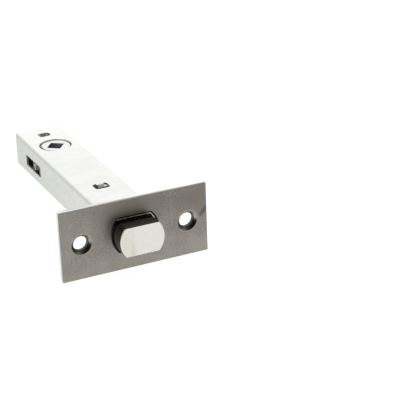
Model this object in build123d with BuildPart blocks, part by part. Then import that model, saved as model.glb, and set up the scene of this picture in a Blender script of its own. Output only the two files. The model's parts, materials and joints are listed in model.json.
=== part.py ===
from build123d import *
import os
from math import cos, radians, sin, tan

# Tubular deadbolt: a forend with a flatted round bolt, on a folded steel case that holds the works.
# Frame: the origin is the centre of the forend's front face. +X runs along the forend,
# +Y runs back along the case into the door, and +Z is the spindle's axis. All sizes in millimetres.
# The bolt and follower stand a little past the middle of their travel.

# Travel
throw = 12.0                    # bolt travel from flush to fully shot
swing = 90.0                    # follower travel for that throw, in degrees
rest_turn = 7.0                 # how far past mid-swing the follower stands, in degrees

# Bolt
bolt_diameter = 17.5
bolt_height = 11.8              # across the two flats
bolt_edge_round = 0.45
bolt_side_clearance = 0.25      # round sides to the case walls
bolt_flat_clearance = 0.25      # flats to the case walls

# Forend
forend_length = 58.0
forend_width = 27.3
forend_thickness = 1.5
forend_corner = 0.4
forend_edge_round = 0.2
backing_thickness = 1.3
backing_inset = 0.15            # backing plate's edge in from the forend's edge
collar_side_clearance = 0.15    # bolt's round sides to the drawn collar round it
collar_flat_clearance = 0.3     # bolt's flats to the collar
collar_wall = 0.3
collar_setback = 0.35           # collar's lip behind the forend's face
collar_lip_round = 0.12
aperture_side_gap = 0.25        # collar to aperture at the round sides
aperture_flat_gap = 0.35        # collar to aperture at the flats

# Wood-screw holes
screw_spacing = 42.0
screw_hole_diameter = 5.6
countersink_diameter = 7.9
countersink_angle = 90.0

# Case
case_wall = 0.7
case_bend = 1.0                 # outside radius of the folds
seam_gap = 0.2
tongue_height = 1.6
tongue_offset = 4.7             # height of each front tongue above or below the middle
tongue_clearance = 0.1
rear_overhang = 6.0             # case past the back of the rear plate

# Follower
backset = 79.8                  # forend's face to the spindle's axis
spindle_square = 5.0
spindle_clearance = 0.5
follower_hole_diameter = 13.2
boss_gap = 0.6                  # boss to the edge of the case's hole
boss_recess = 0.35              # boss face below the case's outer face
boss_chamfer = 0.2
follower_shoulder = 0.3         # hub beyond the hole, so that it can't come out
follower_end_clearance = 0.15
finger_width = 3.6
finger_thickness = 2.4

# Window that the finger swings through
window_length = 16.4
window_height = 4.5
window_drop = 0.75              # window's middle below the case's middle
window_setback = 0.9            # window's middle behind the spindle's axis
window_corner = 0.6

# Tail
tail_thickness = 1.6
tail_bend = 0.5                 # inside radius of its bends
tail_side_clearance = 0.15
tail_floor_clearance = 0.1
tail_hub_clearance = 0.3
neck_width = 10.0
neck_clearance = 0.2
neck_engagement = 9.0           # neck's length inside the bolt
neck_fit = 0.05
joggle_angle = 60.0
shoulder_land = 1.5             # flat between the shoulders and the joggle
ear_length = 2.2
ear_clearance = 0.45            # finger to each ear
ear_rise = 0.4                  # ears above the finger's top
rail_end = 0.5                  # rail behind the rear ear
stop_clearance = 0.2
pin_diameter = 2.4
pin_spacing = 5.6
pin_setback = 4.5               # pins in front of the bolt's back end
pin_sink = 0.1

# Guide plate and rear plate, each held by a lug in the case's top and bottom
plate_thickness = 1.5
plate_clearance = 0.1
plate_corner = 0.4
guide_setback = 32.2            # forend's face to the guide plate
guide_slot_width = 6.0
guide_slot_length = 5.0
guide_lug_width = 2.8
lug_height = 0.35               # guide lug's end above the case
rear_gap = 2.2                  # rails to the rear plate with the bolt withdrawn
rear_slot_width = 4.9
rear_slot_length = 3.8
rear_lug_width = 2.2
rear_lug_recess = 0.45          # rear lug's end below the case's outer face
slot_corner = 1.4
lug_rear_clearance = 0.2
stake_depth = 0.4

# Detent spring
spring_thickness = 0.4
spring_width = 5.0
spring_bend = 0.8
spring_slope = 43.0
spring_roof_clearance = 0.4
spring_foot_clearance = 0.7     # foot above the neck
spring_end = 3.0                # upturned end behind the nose
spring_touch = 0.1              # nose to the tail
detent_length = 2.4
detent_width = 5.8
detent_corner = 0.5
detent_wall = 1.5               # metal between the detent and the hub's slot
rivet_diameter = 2.0
rivet_head_diameter = 3.0
rivet_head_height = 0.8
rivet_head_chamfer = 0.4
rivet_height = 3.0              # rivet above the middle

# Derived travel: the part stands this far forward of mid-throw, and this far proud of the forend
rest_shift = throw * rest_turn / swing
protrusion = throw / 2 + rest_shift
still_to_go = throw - protrusion

# Derived sections
bolt_radius = bolt_diameter / 2
bolt_half = bolt_height / 2
inside_half_width = bolt_radius + bolt_side_clearance
inside_half_height = bolt_half + bolt_flat_clearance
case_half_width = inside_half_width + case_wall
case_half_height = inside_half_height + case_wall
tongue_spacing = 2 * inside_half_width + case_wall
collar_inner = (bolt_radius + collar_side_clearance, bolt_half + collar_flat_clearance)
collar_outer = (collar_inner[0] + collar_wall, collar_inner[1] + collar_wall)
aperture = (collar_outer[0] + aperture_side_gap, collar_outer[1] + aperture_flat_gap)

# Derived places along the case
plates_back = forend_thickness + backing_thickness
guide_back = guide_setback + plate_thickness
head_back = guide_setback - stop_clearance - protrusion
shoulder_y = guide_back + stop_clearance + still_to_go
hub_radius = follower_hole_diameter / 2 + follower_shoulder
boss_radius = follower_hole_diameter / 2 - boss_gap
hub_slot_half = hub_radius + tail_hub_clearance
hub_slot_y = backset - protrusion
tail_half_width = inside_half_width - tail_side_clearance
tail_top = -inside_half_height + tail_floor_clearance + tail_thickness
finger_reach = throw / 2 / sin(radians(swing / 2))
spindle_hole = spindle_square + spindle_clearance
ear_start = finger_width / 2 + ear_clearance
rail_back = backset + ear_start + ear_length + rail_end
rear_plate_y = rail_back + throw / 2 + rear_gap
rear_plate_back = rear_plate_y + plate_thickness
case_end = rear_plate_back + rear_overhang
detent_shot_y = hub_slot_y - hub_slot_half - detent_wall - detent_length / 2
nose_y = detent_shot_y - still_to_go
detent_back_y = nose_y - protrusion


def across(y):
    """Plane square to the case at y; its sketches are extruded backwards by a negative amount."""
    return Plane.XZ.offset(-y)


def flatted_round(radius, half_height):
    """The bolt's section: a circle with its top and bottom cut flat."""
    Circle(radius)
    Rectangle(2 * radius, 2 * half_height, mode=Mode.INTERSECT)


def plate_section(lug_width, lug_half_height):
    """A plate that fills the case's section, with a lug up and down from its middle."""
    width = 2 * (inside_half_width - plate_clearance)
    height = 2 * (inside_half_height - plate_clearance)
    RectangleRounded(width, height, plate_corner)
    Rectangle(lug_width, 2 * lug_half_height)


# Forend: outer plate, with the aperture that the bolt comes through and two countersunk holes
with BuildPart() as forend_plate:
    with BuildSketch(across(0)):
        RectangleRounded(forend_length, forend_width, forend_corner)
    extrude(amount=-forend_thickness)
    fillet(forend_plate.faces().sort_by(Axis.Y)[0].outer_wire().edges(), forend_edge_round)
    with BuildSketch(across(0)):
        flatted_round(*aperture)
    extrude(amount=-forend_thickness, mode=Mode.SUBTRACT)
    with Locations(across(0)):
        with GridLocations(screw_spacing, 0, 2, 1):
            CounterSinkHole(
                radius=screw_hole_diameter / 2,
                counter_sink_radius=countersink_diameter / 2,
                depth=forend_thickness,
                counter_sink_angle=countersink_angle,
            )
forend_plate.part.label = "forend_plate"

# Backing plate: carries the case, and its aperture is drawn forward as a thin collar round the bolt
with BuildPart() as backing_plate:
    with BuildSketch(across(forend_thickness)):
        RectangleRounded(forend_length - 2 * backing_inset, forend_width - 2 * backing_inset, forend_corner)
        with GridLocations(screw_spacing, 0, 2, 1):
            Circle(screw_hole_diameter / 2, mode=Mode.SUBTRACT)
        with GridLocations(tongue_spacing, 2 * tongue_offset, 2, 2):
            Rectangle(
                case_wall + 2 * tongue_clearance, tongue_height + 2 * tongue_clearance, mode=Mode.SUBTRACT
            )
    extrude(amount=-backing_thickness)
    with BuildSketch(across(collar_setback)):
        flatted_round(*collar_outer)
    extrude(amount=-(plates_back - collar_setback))
    fillet(backing_plate.faces().sort_by(Axis.Y)[0].outer_wire().edges(), collar_lip_round)
    with BuildSketch(across(collar_setback)):
        flatted_round(*collar_inner)
    extrude(amount=-(plates_back - collar_setback), mode=Mode.SUBTRACT)
backing_plate.part.label = "backing_plate"

# Case: sheet folded into a box, with its seam on the right. Four tongues at the front go through the
# backing plate, and the top and bottom are pierced alike.
with BuildPart() as case:
    with BuildSketch(across(plates_back)):
        RectangleRounded(2 * case_half_width, 2 * case_half_height, case_bend)
        RectangleRounded(
            2 * inside_half_width, 2 * inside_half_height, case_bend - case_wall, mode=Mode.SUBTRACT
        )
        with Locations((case_half_width, 0)):
            Rectangle(3 * case_wall, seam_gap, mode=Mode.SUBTRACT)
    extrude(amount=-(case_end - plates_back))
    with BuildSketch(across(forend_thickness)):
        with GridLocations(tongue_spacing, 2 * tongue_offset, 2, 2):
            Rectangle(case_wall, tongue_height)
    extrude(amount=-backing_thickness)
    with BuildSketch(Plane.XY):
        with Locations((0, backset)):
            Circle(follower_hole_diameter / 2)
        with Locations((0, guide_back + lug_rear_clearance - guide_slot_length / 2)):
            RectangleRounded(guide_slot_width, guide_slot_length, slot_corner)
        with Locations((0, rear_plate_back + lug_rear_clearance - rear_slot_length / 2)):
            RectangleRounded(rear_slot_width, rear_slot_length, slot_corner)
    extrude(amount=2 * case_half_height, both=True, mode=Mode.SUBTRACT)
    with BuildSketch(Plane.YZ.offset(-inside_half_width)):
        with Locations((backset + window_setback, -window_drop)):
            RectangleRounded(window_length, window_height, window_corner)
    extrude(amount=-2 * case_wall, mode=Mode.SUBTRACT)
case.part.label = "case"

# Bolt head: flatted bar with a slot in its back for the tail's neck, and holes for the two pins
with BuildPart() as bolt_head:
    with BuildSketch(across(-protrusion)):
        flatted_round(bolt_radius, bolt_half)
    extrude(amount=-(head_back + protrusion))
    fillet(bolt_head.faces().sort_by(Axis.Y)[0].edges(), bolt_edge_round)
    with BuildSketch(across(head_back)):
        Rectangle(neck_width + 2 * neck_fit, tail_thickness + 2 * neck_fit)
    extrude(amount=neck_engagement + neck_fit, mode=Mode.SUBTRACT)
    with Locations(Plane.XY.offset(bolt_half)):
        with Locations((0, head_back - pin_setback)):
            with GridLocations(pin_spacing, 0, 2, 1):
                Hole(pin_diameter / 2)
bolt_head.part.label = "bolt_head"

# Bolt tail: a pressed strip. Its neck runs through the guide plate at mid-height, then steps down to the
# case's floor, and its rails pass on both sides of the follower. Two ears take the finger between them.
neck_end = head_back - neck_engagement
joggle_start = shoulder_y + shoulder_land
joggle_end = joggle_start + (tail_thickness / 2 - tail_top) / tan(radians(joggle_angle))
tail_back = rail_back - rest_shift
with BuildPart() as bolt_tail:
    with BuildSketch(Plane.YZ):
        with BuildLine():
            FilletPolyline(
                (neck_end, tail_thickness / 2),
                (joggle_start, tail_thickness / 2),
                (joggle_end, tail_top),
                (tail_back, tail_top),
                radius=[tail_bend + tail_thickness, tail_bend],
            )
            offset(amount=tail_thickness, side=Side.RIGHT)
        make_face()
    extrude(amount=tail_half_width, both=True)
    with BuildSketch(Plane.XY):
        with Locations((0, (neck_end + shoulder_y) / 2)):
            Rectangle(2 * inside_half_width, shoulder_y - neck_end)
            Rectangle(neck_width, shoulder_y - neck_end, mode=Mode.SUBTRACT)
        with Locations((0, head_back - pin_setback)):
            with GridLocations(pin_spacing, 0, 2, 1):
                Circle(pin_diameter / 2)
    extrude(amount=tail_thickness, both=True, mode=Mode.SUBTRACT)
    with BuildSketch(Plane.XY.offset(tail_top)):
        with Locations((0, hub_slot_y)):
            Circle(hub_slot_half)
            Rectangle(2 * hub_slot_half, tail_back - hub_slot_y, align=(Align.CENTER, Align.MIN))
        with Locations((0, detent_back_y), (0, detent_shot_y)):
            RectangleRounded(detent_width, detent_length, detent_corner)
    extrude(amount=-tail_thickness, mode=Mode.SUBTRACT)
    with BuildSketch(Plane.XY.offset(tail_top - tail_thickness)):
        with Locations((-(tail_half_width + hub_slot_half) / 2, backset - rest_shift)):
            with GridLocations(0, 2 * ear_start + ear_length, 1, 2):
                Rectangle(tail_half_width - hub_slot_half, ear_length)
    extrude(amount=finger_thickness / 2 + ear_rise - tail_top + tail_thickness)
bolt_tail.part.label = "bolt_tail"

# Tail pins: two pins down through the bolt and the tail's neck, ending just inside the flats
with BuildPart() as tail_pins:
    with BuildSketch(Plane.XY):
        with Locations((0, head_back - pin_setback)):
            with GridLocations(pin_spacing, 0, 2, 1):
                Circle(pin_diameter / 2)
    extrude(amount=bolt_half - pin_sink, both=True)
tail_pins.part.label = "tail_pins"

# Guide plate: stands across the case behind the bolt, with the neck's slot and a staked lug top and bottom
with BuildPart() as guide_plate:
    with BuildSketch(across(guide_setback)):
        plate_section(guide_lug_width, case_half_height + lug_height)
        Rectangle(neck_width + 2 * neck_clearance, tail_thickness + 2 * neck_clearance, mode=Mode.SUBTRACT)
        with Locations((0, rivet_height)):
            Circle(rivet_diameter / 2, mode=Mode.SUBTRACT)
        with GridLocations(0, 2 * (case_half_height + lug_height), 1, 2):
            RegularPolygon(stake_depth, 4, mode=Mode.SUBTRACT)
    extrude(amount=-plate_thickness)
guide_plate.part.label = "guide_plate"

# Rear plate: closes the works at the back, its lugs a little below the case's faces
with BuildPart() as rear_plate:
    with BuildSketch(across(rear_plate_y)):
        plate_section(rear_lug_width, case_half_height - rear_lug_recess)
    extrude(amount=-plate_thickness)
rear_plate.part.label = "rear_plate"

# Follower: one casting, a hub with a boss at each end, a finger, and a square hole for the spindle
with BuildPart() as follower:
    with BuildSketch(Plane.XY):
        with Locations((0, backset)):
            Circle(boss_radius)
    extrude(amount=case_half_height - boss_recess, both=True)
    chamfer(follower.edges(), boss_chamfer)
    with BuildSketch(Plane.XY):
        with Locations((0, backset)):
            Circle(hub_radius)
    extrude(amount=inside_half_height - follower_end_clearance, both=True)
    with BuildSketch(Plane.XY):
        with Locations(Location((0, backset), 180 + rest_turn)):
            SlotCenterPoint((finger_reach / 2, 0), (finger_reach, 0), finger_width)
    extrude(amount=finger_thickness / 2, both=True)
    with BuildSketch(Plane.XY):
        with Locations((0, backset)):
            Rectangle(spindle_hole, spindle_hole, rotation=45 + rest_turn)
    extrude(amount=case_half_height, both=True, mode=Mode.SUBTRACT)
follower.part.label = "follower"

# Detent spring: a leaf from the guide plate back along the roof and down to a V nose on the tail
spring_roof = inside_half_height - spring_roof_clearance
nose_drop = spring_bend / cos(radians(spring_slope)) - spring_bend - spring_thickness
nose_z = tail_top + spring_touch - nose_drop
knee_y = nose_y - (spring_roof - nose_z) / tan(radians(spring_slope))
with BuildPart() as detent_spring:
    with BuildSketch(Plane.YZ):
        with BuildLine():
            FilletPolyline(
                (guide_back, tail_thickness / 2 + spring_foot_clearance),
                (guide_back, spring_roof),
                (knee_y, spring_roof),
                (nose_y, nose_z),
                (nose_y + spring_end, nose_z + spring_end * tan(radians(spring_slope))),
                radius=spring_bend,
            )
            offset(amount=spring_thickness, side=Side.RIGHT)
        make_face()
    extrude(amount=spring_width / 2, both=True)
    with BuildSketch(across(guide_back)):
        with Locations((0, rivet_height)):
            Circle(rivet_diameter / 2)
    extrude(amount=-2 * spring_thickness, mode=Mode.SUBTRACT)
detent_spring.part.label = "detent_spring"

# Spring rivet: flush at the guide plate's front, with a coned head behind the spring's foot
with BuildPart() as spring_rivet:
    with BuildSketch(across(guide_back + spring_thickness)):
        with Locations((0, rivet_height)):
            Circle(rivet_head_diameter / 2)
    extrude(amount=-rivet_head_height)
    chamfer(spring_rivet.faces().sort_by(Axis.Y)[-1].edges(), rivet_head_chamfer)
    with BuildSketch(across(guide_setback)):
        with Locations((0, rivet_height)):
            Circle(rivet_diameter / 2)
    extrude(amount=-(plate_thickness + spring_thickness))
spring_rivet.part.label = "spring_rivet"

os.makedirs("parts", exist_ok=True)
for piece in (
    forend_plate,
    backing_plate,
    case,
    guide_plate,
    rear_plate,
    detent_spring,
    spring_rivet,
    bolt_head,
    bolt_tail,
    tail_pins,
    follower,
):
    export_step(piece.part, f"parts/{piece.part.label}.step")
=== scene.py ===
import json
from math import atan, cos, radians, sin

import bpy
from mathutils import Color, Matrix, Vector


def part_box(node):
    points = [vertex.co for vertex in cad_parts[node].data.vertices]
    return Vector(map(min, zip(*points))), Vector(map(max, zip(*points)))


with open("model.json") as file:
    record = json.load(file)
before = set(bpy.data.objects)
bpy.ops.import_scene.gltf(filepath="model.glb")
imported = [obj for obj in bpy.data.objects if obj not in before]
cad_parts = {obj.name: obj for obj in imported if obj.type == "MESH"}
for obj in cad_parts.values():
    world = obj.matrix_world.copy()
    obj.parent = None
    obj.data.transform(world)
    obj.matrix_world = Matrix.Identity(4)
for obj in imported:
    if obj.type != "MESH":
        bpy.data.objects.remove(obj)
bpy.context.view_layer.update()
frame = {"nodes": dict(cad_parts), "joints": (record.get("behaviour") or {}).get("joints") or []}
nodes = frame["nodes"]
mm = 0.001

# The case: one sheet of steel folded into a box, its seam hidden on the far side, and zinc plated.
# The plating is pale and even, with painted shade greying the fold over the window, painted light
# brightening the top towards the back and painted shade greying the left side towards the back. The
# pierced edges are bare and grey, with painted shade round the slots and a painted highlight on the
# right of the follower's hole, and the inside is dull.
case_low, case_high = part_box("case")
case_half_width = case_high.x
case_half_height = case_high.z
case_wall = 0.7 * mm
case_bend = 1.0 * mm
skin = 0.1 * mm
side_skin = 0.3 * mm
fold_shade_x = (0.6 * mm - case_half_width, -case_half_width)
fold_shade_z = (case_half_height - 1.9 * mm, case_half_height - 0.95 * mm)
side_greys = (0.35 * case_high.y, case_high.y)
top_brightens = (0.55 * case_high.y, case_high.y)
edge_depth = (0.02 * case_wall, 0.2 * case_wall)
inside_depth = (0.8 * case_wall, 0.98 * case_wall)
mottle_size = 5.0 * mm
mottle_share = 0.7
plating_grain = 0.25 * mm
grain_stretch = (1, 0.25, 1)
grain_relief = (0.25, 0.02 * mm)
soft_contrast = (0.35, 0.65)
zinc_light = (246, 247, 242)
zinc_dull = (236, 237, 232)
fold_grey = (222, 223, 218)
rear_grey = (228, 232, 227)
rear_bright = (250, 251, 247)
edge_grey = (186, 188, 183)
slot_edge_shade = (90, 90, 85)
rear_slot_edge_shade = (158, 159, 154)
edge_bright = (238, 239, 235)
inside_grey = (226, 226, 218)
# Painted shade: the pierced edges are darker round the front and rear slots.
front_slot_left = (-2.7 * mm, 31.0 * mm, 1.8 * mm)
front_slot_right = (2.9 * mm, 33.2 * mm, 1.6 * mm)
rear_slot = (0.0, 94.8 * mm, 4.0 * mm)
# Painted highlight: the pierced edge on the right of the follower's hole is brighter.
ring_right = (6.2 * mm, 81.8 * mm, 6.0 * mm)
edge_tones = (
    (front_slot_left, slot_edge_shade),
    (front_slot_right, slot_edge_shade),
    (rear_slot, rear_slot_edge_shade),
    (ring_right, edge_bright),
)
tone_core = 0.6


def shade(colour):
    """A colour written as it looks on a screen, 0 to 255, as a shader takes it."""
    return (*Color([part / 255 for part in colour]).from_srgb_to_scene_linear(), 1)


def put(tree, kind, sockets, **properties):
    """Adds a shader node, and sets each of its sockets or links it to another node's output."""
    added = tree.nodes.new(kind)
    for name, value in properties.items():
        setattr(added, name, value)
    for name, value in sockets.items():
        if isinstance(value, bpy.types.NodeSocket):
            tree.links.new(value, added.inputs[name])
        else:
            added.inputs[name].default_value = value
    return added


def reckon(tree, operation, first, second=0.0):
    """One step of arithmetic on shader values."""
    return put(tree, "ShaderNodeMath", {0: first, 1: second}, operation=operation).outputs[0]


def both(tree, *shares):
    """Several shares multiplied, so that all of them have to hold."""
    product = shares[0]
    for share in shares[1:]:
        product = reckon(tree, "MULTIPLY", product, share)
    return product


def unsigned(tree, value):
    """A value without its sign, the same on both sides of the middle."""
    return reckon(tree, "ABSOLUTE", value)


def flat_vector(tree, x, y):
    """A vector in a plane, from its two parts."""
    return put(tree, "ShaderNodeCombineXYZ", {"X": x, "Y": y}).outputs["Vector"]


def length(tree, vector):
    """How long a vector is."""
    return put(tree, "ShaderNodeVectorMath", {0: vector}, operation="LENGTH").outputs["Value"]


def ramp(tree, value, low, high, start=0.0, end=1.0):
    """Goes from start to end, clamped, while the value goes from low to high."""
    sockets = {"Value": value, "From Min": low, "From Max": high, "To Min": start, "To Max": end}
    return put(tree, "ShaderNodeMapRange", sockets).outputs["Result"]


def mixed(tree, share, first, second):
    """The first colour where the share is 0 and the second where it is 1."""
    share_socket, first_socket, second_socket, result_socket = 0, 6, 7, 2
    sockets = {share_socket: share, first_socket: first, second_socket: second}
    return put(tree, "ShaderNodeMix", sockets, data_type="RGBA").outputs[result_socket]


def speckle(tree, place, size, detail=3.0, stretch=(1, 1, 1)):
    """Noise whose blotches are about one size across, longer along the axes with a small stretch."""
    stretched = put(tree, "ShaderNodeMapping", {"Vector": place, "Scale": stretch})
    sockets = {"Vector": stretched.outputs["Vector"], "Scale": 1 / size, "Detail": detail}
    return put(tree, "ShaderNodeTexNoise", sockets).outputs["Fac"]


def start_metal(name, metallic, roughness):
    """A metal with its shader tree, its place on the piece, and x, y and z of that place."""
    metal = bpy.data.materials.new(name)
    metal.use_nodes = True
    tree = metal.node_tree
    surface = tree.nodes["Principled BSDF"]
    surface.inputs["Metallic"].default_value = metallic
    surface.inputs["Roughness"].default_value = roughness
    place = put(tree, "ShaderNodeTexCoord", {}).outputs["Object"]
    parts = put(tree, "ShaderNodeSeparateXYZ", {"Vector": place}).outputs
    return metal, tree, place, parts


def roughen(tree, height, relief):
    """Gives a metal fine relief from a shader value, with the relief's strength and depth."""
    strength, depth = relief
    bump = put(tree, "ShaderNodeBump", {"Height": height, "Strength": strength, "Distance": depth})
    tree.links.new(bump.outputs["Normal"], tree.nodes["Principled BSDF"].inputs["Normal"])


def dress(metal, colour, *pieces):
    """Gives a metal its colour, and gives the pieces that metal."""
    tree = metal.node_tree
    tree.links.new(colour, tree.nodes["Principled BSDF"].inputs["Base Color"])
    for piece in pieces:
        nodes[piece].data.materials.clear()
        nodes[piece].data.materials.append(metal)


def zinc_plate(name, light, dull, metallic=0.35, roughness=0.42):
    """Zinc plating: two pale shades in soft blotches, with a fine grain."""
    metal, tree, place, parts = start_metal(name, metallic, roughness)
    blotches = ramp(tree, speckle(tree, place, mottle_size), *soft_contrast)
    grain = speckle(tree, place, plating_grain, detail=2.0, stretch=grain_stretch)
    roughen(tree, grain, grain_relief)
    mottled = reckon(tree, "MULTIPLY", blotches, mottle_share)
    grained = reckon(tree, "MULTIPLY", grain, 1 - mottle_share)
    share = reckon(tree, "ADD", mottled, grained)
    return metal, tree, parts, mixed(tree, share, shade(dull), shade(light))


zinc, tree, parts, colour = zinc_plate("bright_zinc", zinc_light, zinc_dull)
# Painted light: the top is painted brighter towards the back.
at_top = reckon(tree, "GREATER_THAN", parts["Z"], case_half_height - skin)
far_back = ramp(tree, parts["Y"], *top_brightens)
colour = mixed(tree, both(tree, at_top, far_back), colour, shade(rear_bright))
# Painted shade: the left side is painted greyer towards the back.
at_side = reckon(tree, "LESS_THAN", parts["X"], side_skin - case_half_width)
to_rear = ramp(tree, parts["Y"], *side_greys)
colour = mixed(tree, both(tree, at_side, to_rear), colour, shade(rear_grey))
# Painted shade: the fold over the window is painted grey.
on_fold = both(tree, ramp(tree, parts["X"], *fold_shade_x), ramp(tree, parts["Z"], *fold_shade_z))
colour = mixed(tree, on_fold, colour, shade(fold_grey))
past_x = reckon(tree, "SUBTRACT", unsigned(tree, parts["X"]), case_half_width - case_bend)
past_z = reckon(tree, "SUBTRACT", unsigned(tree, parts["Z"]), case_half_height - case_bend)
past_x = ramp(tree, past_x, 0.0, case_bend, 0.0, case_bend)
past_z = ramp(tree, past_z, 0.0, case_bend, 0.0, case_bend)
depth = reckon(tree, "SUBTRACT", case_bend, length(tree, flat_vector(tree, past_x, past_z)))
edge = shade(edge_grey)
for (spot_x, spot_y, reach), tone in edge_tones:
    from_x = reckon(tree, "SUBTRACT", parts["X"], spot_x)
    from_y = reckon(tree, "SUBTRACT", parts["Y"], spot_y)
    away = length(tree, flat_vector(tree, from_x, from_y))
    edge = mixed(tree, ramp(tree, away, reach, tone_core * reach), edge, shade(tone))
colour = mixed(tree, ramp(tree, depth, *edge_depth), colour, edge)
not_end = reckon(tree, "LESS_THAN", parts["Y"], case_high.y - skin)
inside = both(tree, ramp(tree, depth, *inside_depth), not_end)
dress(zinc, mixed(tree, inside, colour, shade(inside_grey)), "case")

# The guide plate and the rear plate: blanked steel, each held by a lug in the case's top and
# bottom. Both are painted dark as shade inside the case and in its slots, save the guide plate's
# lug ends, which stand out nearly as bright as the case and are painted darker on the left as
# shade. The rear plate's lugs lie low and are painted grey as shade.
lug_light = (252, 253, 249)
rear_lug_shade = (150, 151, 146)
plate_shade = (92, 92, 86)
rear_lug_z = (case_half_height - 0.4 * mm, case_half_height)
guide_lug_z = (case_half_height - 1.3 * mm, case_half_height - 1.04 * mm)
left_shade_x = (-0.7 * mm, -1.26 * mm)
left_shade_z = (case_half_height + 0.2 * mm, case_half_height)
front_half = 0.5 * case_high.y
plates, tree, parts, colour = zinc_plate("lug_zinc", lug_light, zinc_dull, metallic=0.0)
upward = unsigned(tree, parts["Z"])
in_front = reckon(tree, "LESS_THAN", parts["Y"], front_half)
rear_end = ramp(tree, upward, *rear_lug_z)
guide_end = both(tree, ramp(tree, upward, *guide_lug_z), in_front)
lug_end = reckon(tree, "MAXIMUM", rear_end, guide_end)
# Painted shade: the guide plate's lug ends are darker on the left.
shade_on_left = ramp(tree, parts["X"], *left_shade_x)
left_shade = both(tree, shade_on_left, in_front, ramp(tree, upward, *left_shade_z))
lug_end = both(tree, lug_end, reckon(tree, "SUBTRACT", 1.0, left_shade))
# Painted shade: the rear plate's lugs are grey.
colour = mixed(tree, in_front, shade(rear_lug_shade), colour)
# Painted shade: the plates are dark below their lug ends.
dress(plates, mixed(tree, lug_end, shade(plate_shade), colour), "guide_plate", "rear_plate")

# The detent spring, its rivet and the two tail pins: plain steel, dark with oil, deep inside the
# case. A finely streaked grey does for all three.
works_grey = (96, 96, 92)
works_dark = (62, 62, 58)
works_streak = 0.3 * mm
works, tree, place, parts = start_metal("oiled_steel", metallic=1.0, roughness=0.38)
streaks = speckle(tree, place, works_streak, detail=2.0, stretch=(1, 0.2, 1))
colour = mixed(tree, streaks, shade(works_dark), shade(works_grey))
dress(works, colour, "detent_spring", "spring_rivet", "tail_pins")

# The bolt's tail: a pressed steel strip from the bolt to the follower, zinc plated and greased.
# It is seen only as a dull grey in the window and the slots.
tail_grey = (136, 136, 125)
tail_dark = (84, 84, 76)
smear_size = 2.5 * mm
tail, tree, place, parts = start_metal("greased_zinc", metallic=0.4, roughness=0.45)
smears = ramp(tree, speckle(tree, place, smear_size), *soft_contrast)
dress(tail, mixed(tree, smears, shade(tail_dark), shade(tail_grey)), "bolt_tail")

# The follower: a zinc die casting that turns in the case, faintly pink beside the plated steel.
# It is painted darker below its bosses' faces as shade, with painted shade on the left of each
# boss's rim; its square hole is painted dark as shade and lighter to the right as painted light;
# and its finger shows in the window, rubbed and olive brown.
follower_half_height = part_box("follower")[1].z
hinge = next(joint for joint in frame["joints"] if joint["name"] == "follower_turn")
follower_axis = Vector(hinge["pos_m"])
follower_pink = (246, 241, 240)
follower_dull = (238, 234, 231)
follower_side = (122, 121, 112)
boss_rim = (34, 34, 32)
finger_olive = (196, 193, 172)
finger_brown = (84, 79, 66)
hole_dark = (88, 93, 94)
hole_grey = (150, 158, 160)
hole_lit = (-1.5 * mm, 2.0 * mm)
spindle_hole = 5.5 * mm
hole_margin = 0.0275 * mm
hole_turn = radians(-38)
boss_drop = (0.2 * mm, 0.3 * mm)
boss_reach = (6.4 * mm, 7.68 * mm)
rim_reach = (5.3 * mm, 5.512 * mm)
rim_way = Vector((-0.94, -0.34, 0))
rim_spread = (0.55, 0.95)
pit_size = 0.5 * mm
pit_relief = (0.3, 0.05 * mm)
rub_size = 1.1 * mm
rub_contrast = (0.44, 0.56)


def along(tree, vector, way):
    """How far a vector reaches in one direction."""
    sockets = {0: vector, 1: way}
    return put(tree, "ShaderNodeVectorMath", sockets, operation="DOT_PRODUCT").outputs["Value"]


def pointing(tree, vector):
    """A vector's direction, as a vector one long."""
    return put(tree, "ShaderNodeVectorMath", {0: vector}, operation="NORMALIZE").outputs["Vector"]


casting, tree, place, parts = start_metal("cast_zinc", metallic=0.35, roughness=0.48)
pits = speckle(tree, place, pit_size)
roughen(tree, pits, pit_relief)
colour = mixed(tree, pits, shade(follower_dull), shade(follower_pink))
# Painted shade: the follower is darker below its bosses' faces.
below = reckon(tree, "SUBTRACT", follower_half_height, unsigned(tree, parts["Z"]))
colour = mixed(tree, ramp(tree, below, *boss_drop), colour, shade(follower_side))
turn = {"Vector": place, "Location": follower_axis, "Rotation": (0, 0, hole_turn)}
turned = put(tree, "ShaderNodeMapping", turn, vector_type="TEXTURE").outputs["Vector"]
square = put(tree, "ShaderNodeSeparateXYZ", {"Vector": turned}).outputs
radius = length(tree, flat_vector(tree, square["X"], square["Y"]))
from_x = reckon(tree, "SUBTRACT", parts["X"], follower_axis.x)
from_y = reckon(tree, "SUBTRACT", parts["Y"], follower_axis.y)
outward = pointing(tree, flat_vector(tree, from_x, from_y))
# Painted shade: the boss's rim is near black on its left.
to_left = ramp(tree, along(tree, outward, rim_way), *rim_spread)
at_rim = both(tree, ramp(tree, radius, *rim_reach), to_left)
colour = mixed(tree, at_rim, colour, shade(boss_rim))
wear_and_light = ramp(tree, speckle(tree, place, rub_size, stretch=(1, 1, 0.4)), *rub_contrast)
finger = mixed(tree, wear_and_light, shade(finger_brown), shade(finger_olive))
colour = mixed(tree, ramp(tree, radius, *boss_reach), colour, finger)
hole_half = 0.5 * spindle_hole + hole_margin
in_x = reckon(tree, "LESS_THAN", unsigned(tree, square["X"]), hole_half)
in_y = reckon(tree, "LESS_THAN", unsigned(tree, square["Y"]), hole_half)
# Painted shade and light: the square hole is dark, and lighter to the right.
hole = mixed(tree, ramp(tree, parts["X"], *hole_lit), shade(hole_dark), shade(hole_grey))
dress(casting, mixed(tree, both(tree, in_x, in_y), colour, hole), "follower")

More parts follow.
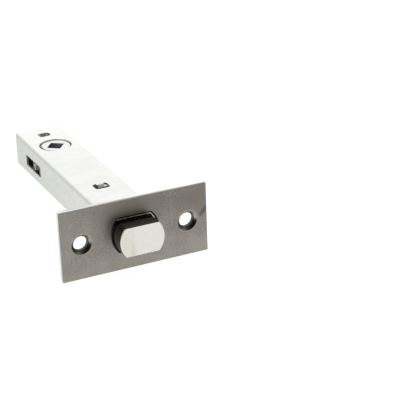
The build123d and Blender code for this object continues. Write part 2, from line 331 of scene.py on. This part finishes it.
# The bolt: a round steel bar with two flats, nickel plated. Its end is faced bright and smooth,
# stained faintly green low on the left, with a painted highlight along its lower rim and painted
# shade over the rounding at its top. Its sides are painted darker as shade and dark reflection,
# the round sides darker than the flats, with fine drawn lines. A band of painted shadow crosses
# its flats where they meet the collar, and painted light makes the round sides lighter there.
bolt_low, bolt_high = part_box("bolt_head")
bolt_round = 0.45 * mm
nickel_light = (222, 219, 214)
nickel_dull = (215, 212, 206)
stain_green = (201, 198, 184)
rim_light = (247, 246, 242)
rim_dark = (42, 39, 34)
flat_light = (143, 138, 128)
flat_dark = (124, 119, 109)
round_light = (106, 100, 90)
round_dark = (82, 77, 68)
lit_brown = (176, 168, 152)
collar_shadow = (24, 22, 19)
shadow_from = (-2.5 * mm, -1.7 * mm)
lit_from = (-2.4 * mm, -0.9 * mm)
band_end = (0.0, 1.0 * mm)
tool_line = 0.3 * mm
tool_contrast = (0.3, 0.7)
streak_contrast = (0.2, 0.8)
stain_right = (-2.4 * mm, -3.7 * mm)
stain_left = (-6.2 * mm, -4.2 * mm)
stain_down = (2.5 * mm, -3.5 * mm)
stain_size = 1.0 * mm
stain_patches = (0.3, 0.6, 0.3, 1.0)
yellowed = 0.28
round_from = (0.72 * bolt_high.x, 0.85 * bolt_high.x)
lit_below = 0.3 * bolt_high.z


def behind_end(near, far):
    """Two places behind the bolt's end, given in roundings of its edge."""
    return bolt_low.y + near * bolt_round, bolt_low.y + far * bolt_round


past_face = behind_end(0.01, 0.04)
face_rim = behind_end(0.05, 0.3)
sides_start = behind_end(0.35, 0.7)
top_rim_end = behind_end(1.1, 0.9)
top_rim_z = (bolt_high.z - 1.05 * bolt_round, bolt_high.z - 0.9 * bolt_round)
nickel, tree, place, parts = start_metal("satin_nickel", metallic=1.0, roughness=0.24)
lines = speckle(tree, place, tool_line, stretch=(1, 0.02, 0.2))
faced = ramp(tree, lines, *tool_contrast)
colour = mixed(tree, faced, shade(nickel_dull), shade(nickel_light))
stain = both(
    tree,
    ramp(tree, parts["X"], *stain_left),
    ramp(tree, parts["Z"], *stain_down),
    ramp(tree, speckle(tree, place, stain_size), *stain_patches),
)
stain = reckon(tree, "MAXIMUM", stain, yellowed)
stain = both(tree, ramp(tree, parts["X"], *stain_right), stain)
colour = mixed(tree, stain, colour, shade(stain_green))
# Painted highlight: the end's rim is bright low down.
low_down = ramp(tree, parts["Z"], lit_below, 0.0)
at_rim = both(tree, ramp(tree, parts["Y"], *face_rim), low_down)
colour = mixed(tree, at_rim, colour, shade(rim_light))
streaks = ramp(tree, lines, *streak_contrast)
# Painted shade and dark reflection: the flats are dark and the round sides darker.
flat = mixed(tree, streaks, shade(flat_dark), shade(flat_light))
rounded = mixed(tree, streaks, shade(round_dark), shade(round_light))
past_band = ramp(tree, parts["Y"], *band_end)
# Painted shadow: a black band crosses the flats by the collar.
shadowed = reckon(tree, "SUBTRACT", ramp(tree, parts["Y"], *shadow_from), past_band)
# Painted light: the round sides are lighter by the collar.
wear_and_light = reckon(tree, "SUBTRACT", ramp(tree, parts["Y"], *lit_from), past_band)
flat = mixed(tree, shadowed, flat, shade(collar_shadow))
rounded = mixed(tree, wear_and_light, rounded, shade(lit_brown))
shaded_sides = mixed(tree, ramp(tree, unsigned(tree, parts["X"]), *round_from), flat, rounded)
# Painted shade: the rounding over the top of the end is dark.
on_top_rim = ramp(tree, parts["Z"], *top_rim_z)
at_top_rim = both(tree, on_top_rim, ramp(tree, parts["Y"], *top_rim_end))
shaded_sides = mixed(tree, at_top_rim, shaded_sides, shade(rim_dark))
on_side = ramp(tree, parts["Y"], *sides_start)
over_face = both(tree, on_top_rim, ramp(tree, parts["Y"], *past_face))
on_side = reckon(tree, "MAXIMUM", on_side, over_face)
dress(nickel, mixed(tree, on_side, colour, shaded_sides), "bolt_head")

# The backing plate: zinc-plated steel behind the forend, drawn forward as a thin collar round the
# bolt. Its edge is bright, greyer along the top towards the left, and its front is painted dark as
# shade. The collar's lip is painted black as shade and dark reflection, lighter in patches along
# the top as painted light, with a painted highlight at the upper right.
backing_low, backing_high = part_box("backing_plate")
backing_dark = (62, 60, 55)
backing_zinc = (236, 237, 232)
backing_edge = (255, 255, 253)
backing_end = (252, 253, 250)
edge_left = (206, 207, 203)
edge_fades = (4.0 * mm, -24.0 * mm)
edge_corner = (-28.6 * mm, -27.0 * mm)
lip_black = (26, 24, 21)
lip_lit = (196, 191, 178)
lip_glint_white = (255, 255, 252)
lip_y = (backing_low.y + 0.39 * mm, backing_low.y + 0.3 * mm)
lip_lit_z = (6.0 * mm, 6.2 * mm)
lip_lit_size = 1.2 * mm
lip_lit_patches = (0.3, 0.5, 0.4, 1.0)
lip_glint_x = (4.8 * mm, 5.76 * mm)
lip_glint_z = (2.4 * mm, 3.36 * mm)
backing, tree, place, parts = start_metal("shaded_zinc", metallic=0.35, roughness=0.35)
back = reckon(tree, "GREATER_THAN", parts["Y"], backing_high.y - 0.5 * skin)
# Painted shade: the plate's front is dark.
colour = mixed(tree, back, shade(backing_dark), shade(backing_zinc))
fades = ramp(tree, parts["X"], *edge_fades)
on_top = reckon(tree, "GREATER_THAN", parts["Z"], 0.0)
fades = both(tree, fades, ramp(tree, parts["X"], *edge_corner), on_top)
edge = mixed(tree, fades, shade(backing_edge), shade(edge_left))
outer_z = reckon(tree, "GREATER_THAN", unsigned(tree, parts["Z"]), backing_high.z - skin)
outer_x = reckon(tree, "GREATER_THAN", unsigned(tree, parts["X"]), backing_high.x - skin)
colour = mixed(tree, outer_z, colour, edge)
colour = mixed(tree, outer_x, colour, shade(backing_end))
lip_lit_share = ramp(tree, speckle(tree, place, lip_lit_size), *lip_lit_patches)
lip_lit_share = both(tree, lip_lit_share, ramp(tree, parts["Z"], *lip_lit_z))
# Painted shade and dark reflection: the lip is black, with painted light in patches along the top.
lip = mixed(tree, lip_lit_share, shade(lip_black), shade(lip_lit))
lip_glint = both(tree, ramp(tree, parts["X"], *lip_glint_x), ramp(tree, parts["Z"], *lip_glint_z))
# Painted highlight: the lip is white at the upper right.
lip = mixed(tree, lip_glint, lip, shade(lip_glint_white))
at_lip = ramp(tree, parts["Y"], *lip_y)
dress(backing, mixed(tree, at_lip, colour, lip), "backing_plate")

# The forend: a stainless plate with a satin face, finely brushed along its length, and edges painted
# bright towards the back as light. The face is painted lighter to the left and low down as light,
# and painted shade darkens it above the aperture and at its upper right, with one oily smear by its
# right end. Two countersinks take the wood screws.
forend_low, forend_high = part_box("forend_plate")
satin_light = (155, 151, 143)
satin_mid = (131, 126, 119)
satin_dark = (112, 108, 100)
brush_line = 0.4 * mm
brush_relief = (0.15, 0.01 * mm)
cloud_size = 7.0 * mm
noise_range = (0.3, 0.7)
cloud_share = (-0.3, 0.3)
brush_share = (-0.5, 0.5)
light_to_left = (-6.0 * mm, -26.0 * mm, 0.0, 0.55)
light_down = (4.0 * mm, -12.0 * mm, 0.0, 0.85)
darkest = -0.6
shade_above_aperture = (-1.0 * mm, 10.0 * mm, 15.0 * mm, 9.0 * mm, 0.8)
shade_upper_right = (24.0 * mm, 9.0 * mm, 10.0 * mm, 8.0 * mm, 0.6)
shade_core = 0.2
smear_start = Vector((26.1, 0, 1.0)) * mm
smear_end = Vector((29.0, 0, 4.1)) * mm
smear_beside = (0.33 * mm, 1.1 * mm, 0.75, 0.0)
smear_onward = (-0.5 * mm, 0.5 * mm)
smear_grain = 0.7 * mm
smear_patches = (0.35, 0.6, 0.4, 1.0)
smear_dark = (66, 63, 57)
satin, tree, place, parts = start_metal("satin_stainless", metallic=1.0, roughness=0.4)
brushed = speckle(tree, place, brush_line, detail=2.0, stretch=(0.45, 1, 1))
roughen(tree, brushed, brush_relief)
clouds = ramp(tree, speckle(tree, place, cloud_size), *noise_range, *cloud_share)
# Painted light: the face is lighter to the left and low down.
to_left = ramp(tree, parts["X"], *light_to_left)
low_down = ramp(tree, parts["Z"], *light_down)
lightness = reckon(tree, "ADD", reckon(tree, "MAXIMUM", to_left, low_down), clouds)
lightness = reckon(tree, "ADD", lightness, ramp(tree, brushed, *noise_range, *brush_share))
darkness = ramp(tree, lightness, 0.0, darkest)
# Painted shade: the face is darker above the aperture and at its upper right.
for spot_x, spot_z, reach_x, reach_z, strength in (shade_above_aperture, shade_upper_right):
    from_x = reckon(tree, "DIVIDE", reckon(tree, "SUBTRACT", parts["X"], spot_x), reach_x)
    from_z = reckon(tree, "DIVIDE", reckon(tree, "SUBTRACT", parts["Z"], spot_z), reach_z)
    away = length(tree, flat_vector(tree, from_x, from_z))
    shaded = ramp(tree, away, shade_core, 1.0, strength, 0.0)
    darkness = reckon(tree, "MAXIMUM", darkness, shaded)
colour = mixed(tree, ramp(tree, lightness, 0.0, 1.0), shade(satin_mid), shade(satin_light))
colour = mixed(tree, darkness, colour, shade(satin_dark))
smear_way = (smear_end - smear_start).normalized()
smear_side = Vector((smear_way.z, 0, -smear_way.x))
beside = reckon(tree, "SUBTRACT", along(tree, place, smear_side), smear_start.dot(smear_side))
onward = reckon(tree, "SUBTRACT", along(tree, place, smear_way), smear_start.dot(smear_way))
smear = both(
    tree,
    ramp(tree, unsigned(tree, beside), *smear_beside),
    ramp(tree, onward, *smear_onward),
    ramp(tree, speckle(tree, place, smear_grain), *smear_patches),
)
colour = mixed(tree, smear, colour, shade(smear_dark))

# The forend's countersinks: turned, and painted dark, with painted shade darkest at their lower
# right and painted light at their upper right, a painted highlight on the upper part of the rim
# round each, and a painted line of shade where the straight bore begins.
screw_offset = 21.0 * mm
countersink_radius = 3.95 * mm
bore_edge = (3.15 * mm, 2.95 * mm)
face_skin = 0.03 * mm
sink_light = (182, 178, 168)
sink_mid = (92, 87, 78)
sink_dark = (30, 27, 24)
sink_bore = (44, 41, 36)
sink_rim_glint = (196, 192, 181)
sink_rim_width = 0.3 * mm
sink_rim_spread = (-0.2, 0.6)
dark_way = Vector((cos(radians(-50)), sin(radians(-50)), 0))
light_way = Vector((cos(radians(40)), sin(radians(40)), 0))
dark_spread = (0.5, 0.85)
light_spread = (0.35, 0.85)
turning_size = 0.5 * mm
turning_share = (-0.25, 0.25)
screw_x = reckon(tree, "MULTIPLY", reckon(tree, "SIGN", parts["X"]), screw_offset)
from_hole = flat_vector(tree, reckon(tree, "SUBTRACT", parts["X"], screw_x), parts["Z"])
hole_radius = length(tree, from_hole)
bearing = pointing(tree, from_hole)
turning = speckle(tree, from_hole, turning_size, detail=2.0)
turning = ramp(tree, turning, *noise_range, *turning_share)
# Painted light at the upper right and painted shade at the lower right of each countersink.
light_share = ramp(tree, along(tree, bearing, light_way), *light_spread)
dark_share = ramp(tree, along(tree, bearing, dark_way), *dark_spread)
sunk = mixed(tree, reckon(tree, "ADD", light_share, turning), shade(sink_mid), shade(sink_light))
sunk = mixed(tree, reckon(tree, "ADD", dark_share, turning), sunk, shade(sink_dark))
# Painted shade: a dark line where the bore begins.
sunk = mixed(tree, ramp(tree, hole_radius, *bore_edge), sunk, shade(sink_bore))
in_sink = reckon(tree, "LESS_THAN", hole_radius, countersink_radius)
below_face = reckon(tree, "GREATER_THAN", parts["Y"], face_skin)
colour = mixed(tree, both(tree, in_sink, below_face), colour, sunk)
# Painted highlight: the rim round each countersink is lighter on its upper part.
past_sink = reckon(tree, "SUBTRACT", hole_radius, countersink_radius)
at_rim = both(
    tree,
    reckon(tree, "GREATER_THAN", past_sink, 0.0),
    ramp(tree, past_sink, sink_rim_width, 0.0),
    ramp(tree, along(tree, bearing, (0, 1, 0)), *sink_rim_spread),
)
colour = mixed(tree, at_rim, colour, shade(sink_rim_glint))

# The forend's aperture and its outer edges: the aperture's wall is painted dark as shade, with a
# painted line of shade on the face above it, and the outer edges are painted from the face's tone
# to bright at the back, and lighter towards the ends and low down, as light.
aperture_half = (9.55 * mm, 6.95 * mm)
wall_dark = (58, 55, 50)
aperture_shade_line = (20, 18, 15)
shade_line_width = 0.3 * mm
shade_line_rise = (0.0, 3.475 * mm, 0.0, 0.85)
edge_front = (116, 112, 105)
edge_light = (240, 239, 237)
edge_mid = (188, 185, 179)
end_front = (124, 120, 114)
end_low = (158, 155, 148)
end_back = (226, 226, 224)
edge_turns = (0.25 * forend_high.y, 0.8 * forend_high.y)
edge_lightens = (0.2 * forend_high.x, 0.85 * forend_high.x)
end_lightens = (0.8 * forend_high.z, 0.8 * forend_low.z)
across = unsigned(tree, parts["X"])
upward = unsigned(tree, parts["Z"])
in_wide = reckon(tree, "LESS_THAN", across, aperture_half[0])
in_high = reckon(tree, "LESS_THAN", upward, aperture_half[1])
# Painted shade: the aperture's wall is dark.
colour = mixed(tree, both(tree, in_wide, in_high, below_face), colour, shade(wall_dark))
# Painted shade: a black line on the face above the aperture.
centre_radius = length(tree, flat_vector(tree, parts["X"], parts["Z"]))
on_round = reckon(tree, "LESS_THAN", centre_radius, aperture_half[0] + shade_line_width)
on_flat = reckon(tree, "LESS_THAN", parts["Z"], aperture_half[1] + shade_line_width)
upper = ramp(tree, parts["Z"], *shade_line_rise)
colour = mixed(tree, both(tree, on_round, on_flat, upper), colour, shade(aperture_shade_line))
# Painted light: the outer edges go bright towards the back, towards the ends and low down.
to_back = ramp(tree, parts["Y"], *edge_turns)
to_end = ramp(tree, across, *edge_lightens)
long_edge = mixed(tree, to_end, shade(edge_mid), shade(edge_light))
long_edge = mixed(tree, to_back, shade(edge_front), long_edge)
downward = ramp(tree, parts["Z"], *end_lightens)
short_edge = mixed(tree, downward, shade(end_front), shade(end_low))
short_edge = mixed(tree, to_back, short_edge, shade(end_back))
past_side = reckon(tree, "GREATER_THAN", upward, forend_high.z - skin)
past_end = reckon(tree, "GREATER_THAN", across, forend_high.x - skin)
colour = mixed(tree, past_side, colour, long_edge)
dress(satin, mixed(tree, past_end, colour, short_edge), "forend_plate")

# The floor: a white table that the lock lies on, tilted a little because the forend's lower edge
# and the case's rear edge both touch it. It glows white and keeps a faint shadow.
floor_size = 6.0
shown_white = 0.93
floor_light = 0.45
floor_tint = 0.2
rest_slope = (case_low.z - forend_low.z) / (case_high.y - forend_low.y)


def shown_strength(tree, shown, hidden):
    """The strength that the camera, metal and glass see, and the one that lights other things."""
    rays = put(tree, "ShaderNodeLightPath", {}).outputs
    seen = reckon(tree, "MAXIMUM", rays["Is Camera Ray"], rays["Is Glossy Ray"])
    seen = reckon(tree, "MAXIMUM", seen, rays["Is Transmission Ray"])
    return ramp(tree, seen, 0.0, 1.0, hidden, shown)


bpy.ops.mesh.primitive_plane_add(size=floor_size)
floor = bpy.context.object
floor.name = "floor"
lie = Matrix.Rotation(atan(rest_slope), 4, "X")
floor.data.transform(Matrix.Translation((0, forend_low.y, forend_low.z)) @ lie)
floor_white = bpy.data.materials.new("floor_white")
floor_white.use_nodes = True
tree = floor_white.node_tree
surface = tree.nodes["Principled BSDF"]
surface.inputs["Base Color"].default_value = (floor_tint, floor_tint, floor_tint, 1)
surface.inputs["Roughness"].default_value = 0.9
surface.inputs["Specular IOR Level"].default_value = 0.0
surface.inputs["Emission Color"].default_value = (1, 1, 1, 1)
floor_glow = shown_strength(tree, shown_white, floor_light)
tree.links.new(floor_glow, surface.inputs["Emission Strength"])
floor.data.materials.append(floor_white)

# The dark card: a black board in front of the lock and above it, which only metal sees. It is
# what the bolt's flats and the countersinks mirror.
card_width = 1.5
card_height = 0.9
card_place = (-0.25, -0.75, 0.5)
card_black = (0.012, 0.012, 0.012, 1)
bpy.ops.mesh.primitive_plane_add(size=1)
card = bpy.context.object
card.name = "dark_card"
stand = Matrix.Translation(card_place) @ Matrix.Rotation(radians(90), 4, "X")
card.data.transform(stand @ Matrix.Diagonal((card_width, card_height, 1, 1)))
black = bpy.data.materials.new("card_black")
black.use_nodes = True
surface = black.node_tree.nodes["Principled BSDF"]
surface.inputs["Base Color"].default_value = card_black
surface.inputs["Roughness"].default_value = 1.0
card.data.materials.append(black)
card.visible_camera = False
card.visible_diffuse = False
card.visible_shadow = False

# The light: a white room, and one wide soft lamp overhead.
world_shown = 1.0
world_light = 0.5
lamp_size = 1.2
lamp_power = 8.1
lamp_place = Vector((0.3, 0.1, 1.1))
world = bpy.data.worlds.new("white_room")
world.use_nodes = True
bpy.context.scene.world = world
tree = world.node_tree
background = tree.nodes["Background"]
background.inputs["Color"].default_value = (1, 1, 1, 1)
world_glow = shown_strength(tree, world_shown, world_light)
tree.links.new(world_glow, background.inputs["Strength"])
lamp = bpy.data.lights.new("soft_lamp", "AREA")
lamp.size = lamp_size
lamp.energy = lamp_power
lamp_stand = bpy.data.objects.new("soft_lamp", lamp)
lamp_stand.location = lamp_place
lamp_stand.rotation_euler = (-lamp_place).to_track_quat("-Z", "Y").to_euler()
bpy.context.collection.objects.link(lamp_stand)

# The camera: in front of the forend, to its left and above, with a long lens. The middle of the
# forend's face lies left of the picture's middle and below it.
picture = 416
sensor = 36.0
azimuth = radians(-25.307)
elevation = radians(23.954)
roll = radians(-1.82)
distance = 0.56938
origin_pixel = Vector((135.26, 232.51))
focal_pixels = 1564.2
towards = Vector((sin(azimuth) * cos(elevation), -cos(azimuth) * cos(elevation), sin(elevation)))
level_right = (-towards).cross(Vector((0, 0, 1))).normalized()
level_up = level_right.cross(-towards)
right = cos(roll) * level_right + sin(roll) * level_up
up = cos(roll) * level_up - sin(roll) * level_right
offset = (origin_pixel - Vector((picture, picture)) / 2) * distance / focal_pixels
eye = towards * distance - right * offset.x + up * offset.y
lens = bpy.data.cameras.new("camera")
lens.sensor_width = sensor
lens.lens = focal_pixels / picture * sensor
camera = bpy.data.objects.new("camera", lens)
camera.matrix_world = Matrix((
    (right.x, up.x, towards.x, eye.x),
    (right.y, up.y, towards.y, eye.y),
    (right.z, up.z, towards.z, eye.z),
    (0, 0, 0, 1),
))
bpy.context.collection.objects.link(camera)
bpy.context.scene.camera = camera
bpy.context.scene.view_settings.view_transform = "Standard"
